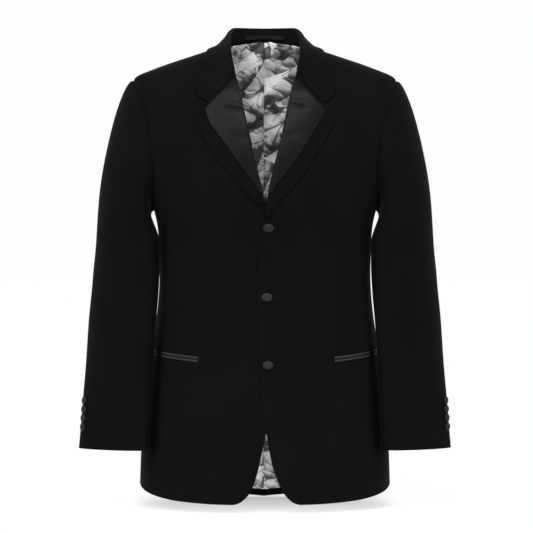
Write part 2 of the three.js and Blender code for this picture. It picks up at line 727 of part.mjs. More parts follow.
FRONT_BUTTONS.forEach(([x, z], i) => {
  const { p, n } = chest(x, z, true);
  add(`front_button_${i + 1}`, button(p.addScaledVector(n, SEAM + 0.3), n, FRONT_BUTTON_RADIUS), 'button');
});

CUFF_BUTTON_HEIGHTS.forEach((z, i) => {
  const p = oval(CUFF_BUTTON_TURN, z);
  const round = oval(CUFF_BUTTON_TURN + 1, z).sub(oval(CUFF_BUTTON_TURN - 1, z));
  const n = vec(0, 0, 1).cross(round).normalize();
  if (n.x < 0) n.negate();
  const dome = button(p.addScaledVector(n, SEAM + 0.5), n, CUFF_BUTTON_RADIUS);
  add(`cuff_button_left_${i + 1}`, dome, 'button');
  add(`cuff_button_right_${i + 1}`, mirrored(dome), 'button');
});

export default group;
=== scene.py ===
# A single-breasted tuxedo jacket, filled out as worn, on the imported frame. Sizes in metres.
import math

import bmesh
import bpy
import numpy as np
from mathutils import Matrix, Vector
from mathutils.bvhtree import BVHTree


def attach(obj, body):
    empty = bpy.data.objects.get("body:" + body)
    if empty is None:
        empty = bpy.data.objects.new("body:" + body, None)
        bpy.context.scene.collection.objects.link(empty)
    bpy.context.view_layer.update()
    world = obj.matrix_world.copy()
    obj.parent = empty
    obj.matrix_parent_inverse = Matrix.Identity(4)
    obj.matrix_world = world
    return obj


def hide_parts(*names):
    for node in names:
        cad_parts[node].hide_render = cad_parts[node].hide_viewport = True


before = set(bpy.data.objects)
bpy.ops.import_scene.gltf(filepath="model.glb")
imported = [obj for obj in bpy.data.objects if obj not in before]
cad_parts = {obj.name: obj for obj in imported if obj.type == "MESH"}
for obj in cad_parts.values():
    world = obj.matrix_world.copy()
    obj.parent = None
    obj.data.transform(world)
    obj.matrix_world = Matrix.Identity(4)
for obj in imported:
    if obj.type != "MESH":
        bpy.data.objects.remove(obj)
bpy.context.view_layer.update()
scene = bpy.context.scene

# Cloth pieces: material, times subdivided, width and length of the cut, area of the cut.
SHEETS = {
    "front_left": ("wool", 3, 0.30, 0.78, 0.151),
    "front_right": ("wool", 3, 0.30, 0.78, 0.151),
    "side_left": ("wool", 2, 0.135, 0.53, 0.0625),
    "side_right": ("wool", 2, 0.135, 0.53, 0.0625),
    "back_left": ("wool", 3, 0.25, 0.81, 0.167),
    "back_right": ("wool", 3, 0.25, 0.81, 0.167),
    "lining_left": ("lining", 4, 0.245, 0.79, 0.154),
    "lining_right": ("lining", 4, 0.245, 0.79, 0.154),
    "sleeve_upper_left": ("wool", 3, 0.21, 0.65, 0.114),
    "sleeve_upper_right": ("wool", 3, 0.21, 0.65, 0.114),
    "sleeve_under_left": ("wool", 2, 0.13, 0.57, 0.061),
    "sleeve_under_right": ("wool", 2, 0.13, 0.57, 0.061),
    "lapel_left": ("wool", 2, 0.10, 0.26, 0.0137),
    "lapel_right": ("wool", 2, 0.10, 0.26, 0.0137),
    "satin_left": ("satin", 3, 0.075, 0.20, 0.0082),
    "satin_right": ("satin", 3, 0.075, 0.20, 0.0082),
    "collar_fall": ("wool", 3, 0.075, 0.44, 0.0279),
    "collar_stand": ("wool", 2, 0.035, 0.33, 0.0079),
    "hanger_loop": ("satin", 3, 0.010, 0.075, 0.00056),
    "pocket_welt": ("wool", 3, 0.0235, 0.10, 0.0022),
    "jet_upper_left": ("satin", 2, 0.010, 0.15, 0.00074),
    "jet_upper_right": ("satin", 2, 0.010, 0.15, 0.00074),
    "jet_lower_left": ("satin", 2, 0.010, 0.15, 0.00074),
    "jet_lower_right": ("satin", 2, 0.010, 0.15, 0.00074),
}
BUTTONS = [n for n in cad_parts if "button" in n]
BUTTON_SMOOTH = 2
EDGE_ROUNDING = 0.0005
SHARP_ANGLE = math.radians(50)

# Soft folds seen from the front: x and z of both ends, half width, depth (a ridge is negative).
FOLDS = [
    (0.262, -0.300, 0.222, -0.352, 0.016, 0.0022),
    (0.286, -0.352, 0.236, -0.392, 0.014, -0.0016),
    (0.290, -0.402, 0.240, -0.430, 0.016, 0.0016),
    (-0.262, -0.292, -0.220, -0.342, 0.017, 0.0022),
    (-0.284, -0.346, -0.236, -0.388, 0.014, -0.0016),
    (-0.288, -0.398, -0.242, -0.424, 0.016, 0.0016),
    (0.254, -0.140, 0.246, -0.268, 0.016, 0.0012),
    (-0.254, -0.150, -0.246, -0.262, 0.016, 0.0012),
    (0.020, -0.425, 0.120, -0.396, 0.014, 0.0010),
    (-0.020, -0.424, -0.124, -0.392, 0.014, 0.0010),
    (0.186, -0.196, 0.160, -0.330, 0.020, 0.0020),
    (-0.186, -0.190, -0.160, -0.336, 0.020, 0.0020),
    (0.110, -0.560, 0.118, -0.735, 0.030, -0.0018),
    (-0.104, -0.555, -0.112, -0.735, 0.030, -0.0018),
    (0.170, -0.575, 0.184, -0.735, 0.024, 0.0022),
    (-0.168, -0.570, -0.182, -0.735, 0.024, 0.0022),
]
# Folds of the back.
BACK_FOLDS = [
    (0.150, -0.110, 0.120, -0.300, 0.024, 0.0030),
    (-0.150, -0.115, -0.118, -0.296, 0.024, 0.0030),
    (0.090, -0.380, 0.160, -0.350, 0.016, 0.0018),
    (-0.088, -0.386, -0.160, -0.352, 0.016, 0.0018),
    (0.100, -0.540, 0.112, -0.740, 0.034, -0.0026),
    (-0.096, -0.535, -0.110, -0.740, 0.034, -0.0026),
    (0.262, -0.300, 0.236, -0.360, 0.016, 0.0024),
    (-0.262, -0.300, -0.236, -0.360, 0.016, 0.0024),
]
# Pulls in the satin beside the roll line below the notch.
SATIN_FOLDS = [
    (-0.070, -0.101, -0.036, -0.106, 0.0026, 0.0012),
    (-0.066, -0.093, -0.036, -0.097, 0.0044, -0.0007),
    (0.038, -0.094, 0.068, -0.101, 0.0026, 0.0012),
    (0.038, -0.086, 0.064, -0.092, 0.0044, -0.0006),
    (0.028, -0.150, 0.066, -0.138, 0.0090, 0.0005),
    (-0.022, -0.158, -0.056, -0.144, 0.0100, 0.0005),
]
# The welt lies flush along its lower seam and stands a little proud at its mouth.
WELT = {"x": 0.0606, "z": -0.258, "slope": 0.0255 / 0.095, "height": 0.0195, "low": 0.0026, "mouth": 0.0014}
# How far each jet is moved to open the pocket's slit.
JET_APART = 0.0005
# The inner end of the gorge, where collar and lapels run together, and how far each is moved to meet.
GORGE = {
    "x": 0.0532, "z": -0.0463, "radius": 0.007,
    "moves": {"collar_fall": -0.0026, "lapel_left": 0.0020, "lapel_right": 0.0020},
}
# The edge of the right front under the break of the lapels: heights, and how far it reaches across.
UNDERLAP = {"foot": -0.292, "full": -0.283, "fade": -0.264, "top": -0.252, "inner": -0.045, "reach": 0.015}
# The inner side of each sleeve hangs nearer the body: |x| where the move ends, then a table of depth
# below the neck and how far it is moved.
SLEEVE_INNER = (0.200, 0.255)
SLEEVE_NEARER = [
    (0.280, 0.0), (0.320, 0.0050), (0.370, 0.0064), (0.420, 0.0058),
    (0.475, 0.0034), (0.530, 0.0012), (0.580, 0.0),
]
# Front buttons are seen a little flattened: width and height against the solid, and how far up each moves.
BUTTON_WIDTH = 0.95
BUTTON_HEIGHT = 0.75
BUTTON_RISE = 0.0012
# The widest gap that is closed at the shoulder seams and the centre back.
SHOULDER_GAP = 0.0014
# The seam of the armhole: the point that its dip runs towards, the gap closed, and the dip's size.
ARMHOLE = {"x": 0.17, "z": -0.20, "gap": 0.0016, "lap": 0.0004, "groove": 0.0032, "depth": 0.0015}

# Slow unevenness of all the cloth: size of its waves and how deep they are.
UNEVEN_SIZE = 0.085
UNEVEN_DEPTH = 0.0011

# Crumples of the lining: how many families of folds, and their spacing.
CRUMPLE_FOLDS = 8
CRUMPLE_WIDE = 0.080
CRUMPLE_NARROW = 0.022
CRUMPLE_SLOPE = 0.34
CRUMPLE_MOST = 0.009

# Buttonholes: x of the inner and outer end, height.
BUTTONHOLES = [(0.0150, 0.0220, -0.3030), (0.0125, 0.0195, -0.4177), (0.0142, 0.0212, -0.5304)]


# Smooth noise from a fixed table of numbers, 0 to 1
def noise(p, size, seed):
    table = np.random.default_rng(seed).random((16, 16, 16))
    q = p / size
    cell = np.floor(q).astype(int)
    f = q - cell
    f = f * f * (3 - 2 * f)
    total = 0
    for dx in (0, 1):
        for dy in (0, 1):
            for dz in (0, 1):
                share = (
                    (f[:, 0] if dx else 1 - f[:, 0])
                    * (f[:, 1] if dy else 1 - f[:, 1])
                    * (f[:, 2] if dz else 1 - f[:, 2])
                )
                at = (cell + (dx, dy, dz)) % 16
                total = total + share * table[at[:, 0], at[:, 1], at[:, 2]]
    return total


def ease(x, low, high):
    t = np.clip((x - low) / (high - low), 0, 1)
    return t * t * (3 - 2 * t)


# How deep a table of folds is at points seen from the front
def fold_depth(x, z, folds):
    depth = np.zeros(len(x))
    for i, (xa, za, xb, zb, half, most) in enumerate(folds):
        along = np.array([xb - xa, zb - za])
        length = np.hypot(*along)
        along /= length
        t = ((x - xa) * along[0] + (z - za) * along[1]) / length
        bow = 0.25 * half * np.sin(3.1 * t + i)
        across = (x - xa) * -along[1] + (z - za) * along[0] - bow
        wide = half * (0.8 + 0.4 * ease(t, 0, 1))
        ends = ease(t, -0.25, 0.3) * (1 - ease(t, 0.65, 1.25))
        depth += most * ends * np.exp(-((across / wide) ** 2))
    return depth


# One field of small moves front to back, the same for all pieces, so that none runs into its neighbour
def settled(p):
    front = 1 - ease(p[:, 1], -0.05, 0.03)
    moved = p.copy()
    inward = front * fold_depth(p[:, 0], p[:, 2], FOLDS)
    inward = inward - (1 - front) * fold_depth(p[:, 0], p[:, 2], BACK_FOLDS)
    uneven = UNEVEN_DEPTH * (noise(p, UNEVEN_SIZE, 3) - 0.5) * 2
    still = ease(p[:, 2], -0.77, -0.74)
    moved[:, 1] += (inward + uneven) * still
    return moved


# A smooth dense copy of a CAD wall that passes through its corners
def dense_copy(name, level):
    mesh = bpy.data.meshes.new(f"{name}_cloth")
    bm = bmesh.new()
    bm.from_mesh(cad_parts[name].data)
    bmesh.ops.remove_doubles(bm, verts=bm.verts, dist=2e-5)
    bmesh.ops.join_triangles(
        bm, faces=bm.faces, angle_face_threshold=math.radians(40), angle_shape_threshold=math.pi
    )
    crease = bm.edges.layers.float.new("crease_edge")
    for edge in bm.edges:
        if len(edge.link_faces) != 2 or edge.calc_face_angle(0) > SHARP_ANGLE:
            edge[crease] = 1
    bm.to_mesh(mesh)
    bm.free()
    piece = bpy.data.objects.new(f"{name}_cloth", mesh)
    scene.collection.objects.link(piece)
    smoother = piece.modifiers.new("smooth", "SUBSURF")
    smoother.boundary_smooth = "PRESERVE_CORNERS"
    target = coordinates(mesh)
    control = target.copy()
    smoother.levels = smoother.render_levels = 2
    for _ in range(3):
        control += target - evaluated(piece)[: len(target)]
        mesh.vertices.foreach_set("co", control.ravel())
        mesh.update()
    smoother.levels = smoother.render_levels = level
    rounding = piece.modifiers.new("edge", "BEVEL")
    rounding.width = EDGE_ROUNDING
    rounding.segments = 2
    rounding.limit_method = "ANGLE"
    rounding.angle_limit = SHARP_ANGLE
    made = bpy.data.meshes.new_from_object(piece.evaluated_get(bpy.context.evaluated_depsgraph_get()))
    piece.modifiers.clear()
    piece.data = made
    made.shade_smooth()
    return piece


def coordinates(mesh):
    co = np.empty(len(mesh.vertices) * 3)
    mesh.vertices.foreach_get("co", co)
    return co.reshape(-1, 3)


def evaluated(piece):
    return coordinates(piece.evaluated_get(bpy.context.evaluated_depsgraph_get()).data)


def move_to(piece, co):
    piece.data.vertices.foreach_set("co", np.ascontiguousarray(co).ravel())
    piece.data.update()


# Sharp crumples over a flat sheet: families of folds that bend one another
def crumple(s, z):
    rng = np.random.default_rng(11)
    x, y = s.copy(), z.copy()
    height = np.zeros(len(s))
    for k in range(CRUMPLE_FOLDS):
        spacing = CRUMPLE_WIDE * (CRUMPLE_NARROW / CRUMPLE_WIDE) ** (k / (CRUMPLE_FOLDS - 1))
        angle = rng.normal(0.45, 0.75) + (math.pi / 2 if k % 2 else 0)
        c, n = math.cos(angle), math.sin(angle)
        run, across = x * c + y * n, -x * n + y * c
        phase = rng.random(3) * 7
        t = run / spacing + 0.30 * np.sin(across / (1.7 * spacing) + phase[0]) + phase[1]
        wave = np.abs(2 * (t - np.floor(t + 0.5)))
        place = np.stack([x, y, np.full(len(x), phase[2])], axis=1)
        active = ease(noise(place, 2.6 * spacing, 20 + k), 0.38, 0.62)
        height += CRUMPLE_SLOPE * spacing * wave * active * 0.5
        x = x + 0.16 * spacing * wave * c * active
        y = y + 0.16 * spacing * wave * n * active
    return height


def crumpled(piece):
    co = coordinates(piece.data)
    radius = np.hypot(co[:, 0], co[:, 1])
    turn = np.arctan2(co[:, 0], co[:, 1])
    s = turn * 0.17
    height = crumple(s, co[:, 2])
    fade = 0.25 + 0.75 * ease(np.abs(turn), 0.0, 0.05)
    depth = np.minimum(height * 0.55, CRUMPLE_MOST) * fade
    depth = depth * ease(co[:, 2], -0.765, -0.745)
    out = co[:, :2] / radius[:, None]
    co[:, :2] -= out * depth[:, None]
    co[:, 0] *= ease(np.abs(co[:, 0]), 0.0003, 0.0012)
    move_to(piece, co)


# Materials
def material(name, colour, roughness, specular=0.5, sheen=0.0, sheen_roughness=0.5):
    made = bpy.data.materials.new(name)
    made.use_nodes = True
    shader = made.node_tree.nodes["Principled BSDF"]
    shader.inputs["Base Color"].default_value = (*colour, 1)
    shader.inputs["Roughness"].default_value = roughness
    shader.inputs["Specular IOR Level"].default_value = specular
    shader.inputs["Sheen Weight"].default_value = sheen
    shader.inputs["Sheen Roughness"].default_value = sheen_roughness
    return made, made.node_tree, shader


def node(tree, kind, inputs=None, **settings):
    made = tree.nodes.new(kind)
    for key, value in settings.items():
        setattr(made, key, value)
    for key, value in (inputs or {}).items():
        made.inputs[key].default_value = value
    return made


def place_of(tree, scale=(1, 1, 1), turn=(0, 0, 0)):
    where = node(tree, "ShaderNodeTexCoord")
    mapping = node(tree, "ShaderNodeMapping", {"Scale": scale, "Rotation": turn})
    tree.links.new(where.outputs["Object"], mapping.inputs["Vector"])
    return mapping.outputs["Vector"]


def ramp(tree, factor, stops):
    made = node(tree, "ShaderNodeValToRGB")
    elements = made.color_ramp.elements
    while len(elements) < len(stops):
        elements.new(0.5)
    for element, (at, colour) in zip(elements, stops):
        element.position = at
        element.color = (*colour, 1)
    tree.links.new(factor, made.inputs["Fac"])
    return made.outputs["Color"]


def bump(tree, shader, height, strength, distance, below=None):
    made = node(tree, "ShaderNodeBump", {"Strength": strength, "Distance": distance})
    tree.links.new(height, made.inputs["Height"])
    if below:
        tree.links.new(below, made.inputs["Normal"])
    tree.links.new(made.outputs["Normal"], shader.inputs["Normal"])
    return made.outputs["Normal"]


def grey(value, tint=1.06):
    return (value, value, value * tint)


# Painted shade in the narrow space between sleeve and body: x at the neck's height, spread with height, half
# width, tone inside it, and the heights that it fades in and out over.
CREVICE_PAINTED_SHADE = {
    "x": 0.1582, "spread": 0.047, "width": 0.014, "tone": 0.0,
    "top": (-0.25, -0.33), "foot": (-0.66, -0.72),
}
# |x| where the sleeve's shadow on the ends of the jets starts and is full.
JET_SHADOW = (0.1725, 0.1775)


def maths(tree, operation, first, second):
    made = node(tree, "ShaderNodeMath", operation=operation)
    for socket, value in zip(made.inputs, (first, second)):
        if isinstance(value, (int, float)):
            socket.default_value = value
        else:
            tree.links.new(value, socket)
    return made.outputs["Value"]


def multiplied(tree, colour, factor):
    made = node(tree, "ShaderNodeVectorMath", operation="MULTIPLY")
    tree.links.new(colour, made.inputs[0])
    tree.links.new(factor, made.inputs[1])
    return made.outputs["Vector"]


def mapped(tree, value, start, end, low, high):
    limits = {"From Min": start, "From Max": end, "To Min": low, "To Max": high}
    made = node(tree, "ShaderNodeMapRange", limits, interpolation_type="SMOOTHSTEP", clamp=True)
    tree.links.new(value, made.inputs["Value"])
    return made.outputs["Result"]


# Painted shade: little light reaches the cloth between sleeve and body, so the colour is darkened there
def painted_crevice_shade(tree):
    parts = node(tree, "ShaderNodeSeparateXYZ")
    tree.links.new(place_of(tree), parts.inputs["Vector"])
    z = parts.outputs["Z"]
    out = maths(tree, "ADD", maths(tree, "ABSOLUTE", parts.outputs["X"], 0.0), -CREVICE_PAINTED_SHADE["x"])
    from_line = maths(tree, "ADD", out, maths(tree, "MULTIPLY", z, CREVICE_PAINTED_SHADE["spread"]))
    away = maths(tree, "ABSOLUTE", from_line, 0.0)
    deep = mapped(tree, away, 0, CREVICE_PAINTED_SHADE["width"], 1 - CREVICE_PAINTED_SHADE["tone"], 0)
    deep = maths(tree, "MULTIPLY", deep, mapped(tree, z, *CREVICE_PAINTED_SHADE["top"], 0, 1))
    deep = maths(tree, "MULTIPLY", deep, mapped(tree, z, *CREVICE_PAINTED_SHADE["foot"], 1, 0))
    return maths(tree, "SUBTRACT", 1.0, deep)


def wool_material():
    made, tree, shader = material("black_wool", grey(0.0029), 0.80, 0.026, 0.018, 0.45)
    twill = node(
        tree, "ShaderNodeTexWave", {"Scale": 260, "Distortion": 2.0, "Detail": 1.0, "Detail Scale": 3.0},
        wave_type="BANDS", bands_direction="DIAGONAL",
    )
    tree.links.new(place_of(tree), twill.inputs["Vector"])
    fibre = node(tree, "ShaderNodeTexNoise", {"Scale": 900, "Detail": 3.0, "Roughness": 0.6})
    tree.links.new(place_of(tree), fibre.inputs["Vector"])
    cloud = node(tree, "ShaderNodeTexNoise", {"Scale": 14, "Detail": 3.0, "Roughness": 0.55})
    tree.links.new(place_of(tree, (1, 1, 0.6)), cloud.inputs["Vector"])
    colour = ramp(tree, cloud.outputs["Fac"], [(0.3, grey(0.0025)), (0.7, grey(0.0033))])
    # The wool's colour is darkened by painted shade between sleeve and body.
    tree.links.new(multiplied(tree, colour, painted_crevice_shade(tree)), shader.inputs["Base Color"])
    low = bump(tree, shader, twill.outputs["Fac"], 0.25, 0.00008)
    bump(tree, shader, fibre.outputs["Fac"], 0.35, 0.00012, low)
    return made


def satin_material(name, value, roughness, specular):
    made, tree, shader = material(name, grey(value), roughness, specular, 0.0)
    thread = node(tree, "ShaderNodeTexNoise", {"Scale": 500, "Detail": 2.0, "Roughness": 0.5})
    tree.links.new(place_of(tree, (3, 3, 0.35)), thread.inputs["Vector"])
    cloud = node(tree, "ShaderNodeTexNoise", {"Scale": 30, "Detail": 3.0, "Roughness": 0.5})
    tree.links.new(place_of(tree), cloud.inputs["Vector"])
    colour = ramp(tree, cloud.outputs["Fac"], [(0.3, grey(value * 0.85)), (0.7, grey(value * 1.2))])
    # The jet satin gets a painted shadow of the sleeve over its outer ends.
    if name == "jet_satin":
        parts = node(tree, "ShaderNodeSeparateXYZ")
        tree.links.new(place_of(tree), parts.inputs["Vector"])
        side = maths(tree, "ABSOLUTE", parts.outputs["X"], 0.0)
        colour = multiplied(tree, colour, mapped(tree, side, *JET_SHADOW, 1, 0.1))
    tree.links.new(colour, shader.inputs["Base Color"])
    soft = bump(tree, shader, cloud.outputs["Fac"], 0.20, 0.0010)
    bump(tree, shader, thread.outputs["Fac"], 0.20, 0.00006, soft)
    return made


# Places on the lining, stretched along folds that run at an angle, and broken at the centre seam
def silk_place(tree, scale, turn, bend):
    where = node(tree, "ShaderNodeTexCoord").outputs["Object"]
    parts = node(tree, "ShaderNodeSeparateXYZ")
    tree.links.new(where, parts.inputs["Vector"])
    half = maths(tree, "MULTIPLY", maths(tree, "GREATER_THAN", parts.outputs["X"], 0.0), 0.37)
    apart = node(tree, "ShaderNodeCombineXYZ")
    tree.links.new(half, apart.inputs["Y"])
    shifted = node(tree, "ShaderNodeVectorMath", operation="ADD")
    tree.links.new(where, shifted.inputs[0])
    tree.links.new(apart.outputs["Vector"], shifted.inputs[1])
    turned = node(tree, "ShaderNodeMapping", {"Rotation": (0, math.radians(turn), 0)})
    tree.links.new(shifted.outputs["Vector"], turned.inputs["Vector"])
    mapping = node(tree, "ShaderNodeMapping", {"Scale": scale})
    tree.links.new(turned.outputs["Vector"], mapping.inputs["Vector"])
    wander = node(tree, "ShaderNodeTexNoise", {"Scale": 20, "Detail": 1.0})
    tree.links.new(mapping.outputs["Vector"], wander.inputs["Vector"])
    made = node(tree, "ShaderNodeVectorMath", operation="MULTIPLY_ADD")
    made.inputs[1].default_value = (bend,) * 3
    tree.links.new(wander.outputs["Color"], made.inputs[0])
    tree.links.new(mapping.outputs["Vector"], made.inputs[2])
    return made.outputs["Vector"]


# Painted shading of crumpled facets on the silk: angle, stretch, cells to a metre, lean of each facet,
# change of tone.
SILK_FACETS_PAINTED_SHADING = [(34, (0.50, 0.4, 1.25), 26, 13, 0.55), (-28, (0.55, 0.4, 1.2), 54, 20, 0.35)]
# Creases painted into the silk's colour as shade on one side: angle, stretch, noise scale, where the crease
# lies in the noise, width, share shown.
SILK_PAINTED_CREASES = [
    (38, (0.30, 0.4, 1.0), 20, 0.50, 0.022, 0.60),
    (-24, (0.34, 0.4, 1.0), 34, 0.48, 0.026, 0.55),
    (52, (0.34, 0.4, 1.0), 52, 0.50, 0.032, 0.55),
    (8, (0.30, 0.4, 1.0), 40, 0.52, 0.028, 0.50),
]
# Broad painted shadows between the folds: where one starts in the noise, and its tone.
SILK_PAINTED_SHADE = (0.515, 0.30)
SILK_TONES = [(0.18, 0.035), (0.34, 0.16), (0.42, 0.50), (0.60, 0.82), (0.85, 0.97)]


# Silver silk whose crumples are painted into its colour: facets painted lighter and darker, with creases
# painted dark on one side and bright on the other
def lining_material():
    made, tree, shader = material("silver_lining", grey(0.6, 1.02), 0.36, 0.5, 0.0)
    tone = 0.62
    heights = 0.0
    # Each facet's colour is painted lighter or darker, by its lean and at random, as the shading and
    # reflection of crumpled silk.
    for turn, scale, cells, lean, change in SILK_FACETS_PAINTED_SHADING:
        where = silk_place(tree, scale, turn, 0.008)
        facet = node(tree, "ShaderNodeTexVoronoi", {"Scale": cells, "Randomness": 1.0}, feature="F1")
        tree.links.new(where, facet.inputs["Vector"])
        inside = node(tree, "ShaderNodeVectorMath", operation="SUBTRACT")
        tree.links.new(where, inside.inputs[0])
        tree.links.new(facet.outputs["Position"], inside.inputs[1])
        slope = node(tree, "ShaderNodeVectorMath", operation="DOT_PRODUCT")
        tree.links.new(inside.outputs["Vector"], slope.inputs[0])
        slope.inputs[1].default_value = (0.3, 0, 1.0)
        split = node(tree, "ShaderNodeSeparateColor")
        tree.links.new(facet.outputs["Color"], split.inputs["Color"])
        own = maths(tree, "MULTIPLY", maths(tree, "SUBTRACT", split.outputs["Red"], 0.5), change)
        painted_lean_shading = maths(tree, "MULTIPLY", slope.outputs["Value"], lean)
        tone = maths(tree, "ADD", maths(tree, "ADD", painted_lean_shading, own), tone)
        heights = maths(tree, "ADD", maths(tree, "MULTIPLY", facet.outputs["Distance"], 26 / cells), heights)
    # Broad painted shadows between the folds darken the colour.
    cloud = node(tree, "ShaderNodeTexNoise", {"Scale": 14, "Detail": 1.0})
    tree.links.new(silk_place(tree, (0.6, 0.4, 1.2), 30, 0.01), cloud.inputs["Vector"])
    edge, dark = SILK_PAINTED_SHADE
    shade = ramp(tree, cloud.outputs["Fac"], [
        (edge, grey(1, 1)), (edge + 0.006, grey(dark, 1)), (edge + 0.05, grey(dark * 1.4, 1)),
        (edge + 0.10, grey(0.9, 1)),
    ])
    tone = maths(tree, "MULTIPLY", tone, shade)
    tone = ramp(tree, tone, [(at, grey(value, 1)) for at, value in SILK_TONES])
    # Painted crease shade: the colour is darkened on one side of each crease, with a sharp edge to the
    # unshaded side.
    for turn, scale, size, at, width, share in SILK_PAINTED_CREASES:
        fold = node(tree, "ShaderNodeTexNoise", {"Scale": size, "Detail": 0.6, "Roughness": 0.5})
        tree.links.new(silk_place(tree, scale, turn, 0.008), fold.inputs["Vector"])
        painted_crease_shade = ramp(tree, fold.outputs["Fac"], [
            (at - width, grey(1, 1)), (at - width * 0.5, grey(0.30, 1)), (at - 0.002, grey(0.05, 1)),
            (at + 0.002, grey(1, 1)),
        ])
        some = node(tree, "ShaderNodeTexNoise", {"Scale": size * 0.8, "Detail": 1.0})
        tree.links.new(place_of(tree), some.inputs["Vector"])
        limits = {"From Min": 0.96 - share, "From Max": 1.04 - share}
        shown = node(tree, "ShaderNodeMapRange", limits, clamp=True)
        tree.links.new(some.outputs["Fac"], shown.inputs["Value"])
        change = maths(tree, "MULTIPLY", maths(tree, "SUBTRACT", painted_crease_shade, 1.0), shown.outputs["Result"])
        tone = maths(tree, "MULTIPLY", tone, maths(tree, "ADD", change, 1.0))
        heights = maths(tree, "ADD", heights, maths(tree, "MULTIPLY", fold.outputs["Fac"], 8 / size))
    colour = ramp(tree, tone, [(0.0, grey(0.030)), (1.0, grey(0.95, 1.0))])
    tree.links.new(colour, shader.inputs["Base Color"])
    thread = node(tree, "ShaderNodeTexNoise", {"Scale": 420, "Detail": 2.0, "Roughness": 0.5})
    tree.links.new(place_of(tree, (1, 1, 0.3)), thread.inputs["Vector"])
    folds = bump(tree, shader, heights, 0.35, 0.008)
    bump(tree, shader, thread.outputs["Fac"], 0.15, 0.00008, folds)
    return made


CLOTHS = {
    "wool": wool_material(),
    "satin": satin_material("black_satin", 0.0047, 0.30, 0.050),
    "button": satin_material("button_satin", 0.014, 0.45, 0.10),
    "jet": satin_material("jet_satin", 0.020, 0.40, 0.10),
    "lining": lining_material(),
}


def dress(piece, slot, look=None):
    piece.data.materials.clear()
    piece.data.materials.append(CLOTHS[look or slot])
    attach(piece, "root")
    return piece


# The cloth pieces and the buttons
pieces = {}
for name, (slot, level, width, length, area) in SHEETS.items():
    piece = dense_copy(name, level)
    if slot == "lining":
        crumpled(piece)
    co = coordinates(piece.data)
    if name == "pocket_welt":
        up = (co[:, 2] - WELT["z"] - WELT["slope"] * (co[:, 0] - WELT["x"])) / WELT["height"]
        co[:, 1] += WELT["low"] + (WELT["mouth"] - WELT["low"]) * ease(up, 0, 1)
    if name.startswith("jet_"):
        co[:, 2] += JET_APART * (1 if "upper" in name else -1)
    if name in GORGE["moves"]:
        near = np.hypot(np.abs(co[:, 0]) - GORGE["x"], co[:, 2] - GORGE["z"])
        co[:, 2] += GORGE["moves"][name] * np.exp(-((near / GORGE["radius"]) ** 2)) * (co[:, 1] < 0)
    if name == "front_right":
        z = co[:, 2]
        band = ease(z, UNDERLAP["foot"], UNDERLAP["full"]) * (1 - ease(z, UNDERLAP["fade"], UNDERLAP["top"]))
        co[:, 0] += UNDERLAP["reach"] * band * ease(co[:, 0], UNDERLAP["inner"], -0.008) * (co[:, 1] < 0)
    if name.startswith("sleeve_"):
        inner = 1 - ease(np.abs(co[:, 0]), *SLEEVE_INNER)
        co[:, 0] -= np.sign(co[:, 0]) * inner * np.interp(-co[:, 2], *zip(*SLEEVE_NEARER))
    if name.startswith("satin_"):
        co[:, 1] += fold_depth(co[:, 0], co[:, 2], SATIN_FOLDS) * ease(co[:, 1], -0.02, -0.05)
    move_to(piece, settled(co))
    dress(piece, slot, "jet" if name.startswith("jet_") else None)
    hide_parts(name)
    pieces[name] = piece

for name in BUTTONS:
    piece = dense_copy(name, BUTTON_SMOOTH)
    co = coordinates(piece.data)
    if name.startswith("front"):
        centre = (co.min(axis=0) + co.max(axis=0)) / 2
        co = centre + (co - centre) * (BUTTON_WIDTH, 1, BUTTON_HEIGHT) + (0, 0, BUTTON_RISE)
    move_to(piece, settled(co))
    dress(piece, "button")
    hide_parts(name)


# Sews sleeves to the body: the sleeve's edge closes the gap, and the cloth dips on both sides of the seam
def armhole_seam(side):
    sign = 1 if side == "left" else -1
    centre = np.array([sign * ARMHOLE["x"], 0, ARMHOLE["z"]])
    panels = [pieces[f"{panel}_{side}"] for panel in ("front", "side", "back")]
    sleeves = [pieces[f"sleeve_{part}_{side}"] for part in ("upper", "under")]
    graph = bpy.context.evaluated_depsgraph_get()
    moved = []
    for group, facing in ((panels, sleeves), (sleeves, panels)):
        trees = [BVHTree.FromObject(other, graph) for other in facing]
        for piece in group:
            co = coordinates(piece.data)
            close = np.flatnonzero((sign * co[:, 0] > 0.16) & (co[:, 2] > -0.30))
            for i in close:
                p = co[i].copy()
                found = [tree.find_nearest(Vector(p), ARMHOLE["groove"] * 2.5) for tree in trees]
                found = [f for f in found if f[0] is not None]
                if not found:
                    continue
                hit, _, _, distance = min(found, key=lambda f: f[3])
                if group is sleeves and 1e-6 < distance < ARMHOLE["gap"]:
                    co[i] += (np.array(hit) - p) / distance * (distance + ARMHOLE["lap"])
                inward = (centre - p) / np.linalg.norm(centre - p)
                co[i] += inward * ARMHOLE["depth"] * math.exp(-((distance / ARMHOLE["groove"]) ** 2))
            moved.append((piece, co))
    for piece, co in moved:
        move_to(piece, co)


# Moves the edge of one piece onto its neighbour where only a seam's gap parts them
def close_seam(piece, neighbour):
    tree = BVHTree.FromObject(pieces[neighbour], bpy.context.evaluated_depsgraph_get())
    co = coordinates(pieces[piece].data)
    for i, p in enumerate(co):
        hit, _, _, distance = tree.find_nearest(Vector(p), SHOULDER_GAP)
        if hit is not None and distance > 1e-6:
            co[i] += (np.array(hit) - p) / distance * (distance + ARMHOLE["lap"])
    move_to(pieces[piece], co)


close_seam("back_left", "back_right")
for side in ("left", "right"):
    close_seam(f"back_{side}", f"front_{side}")
    armhole_seam(side)


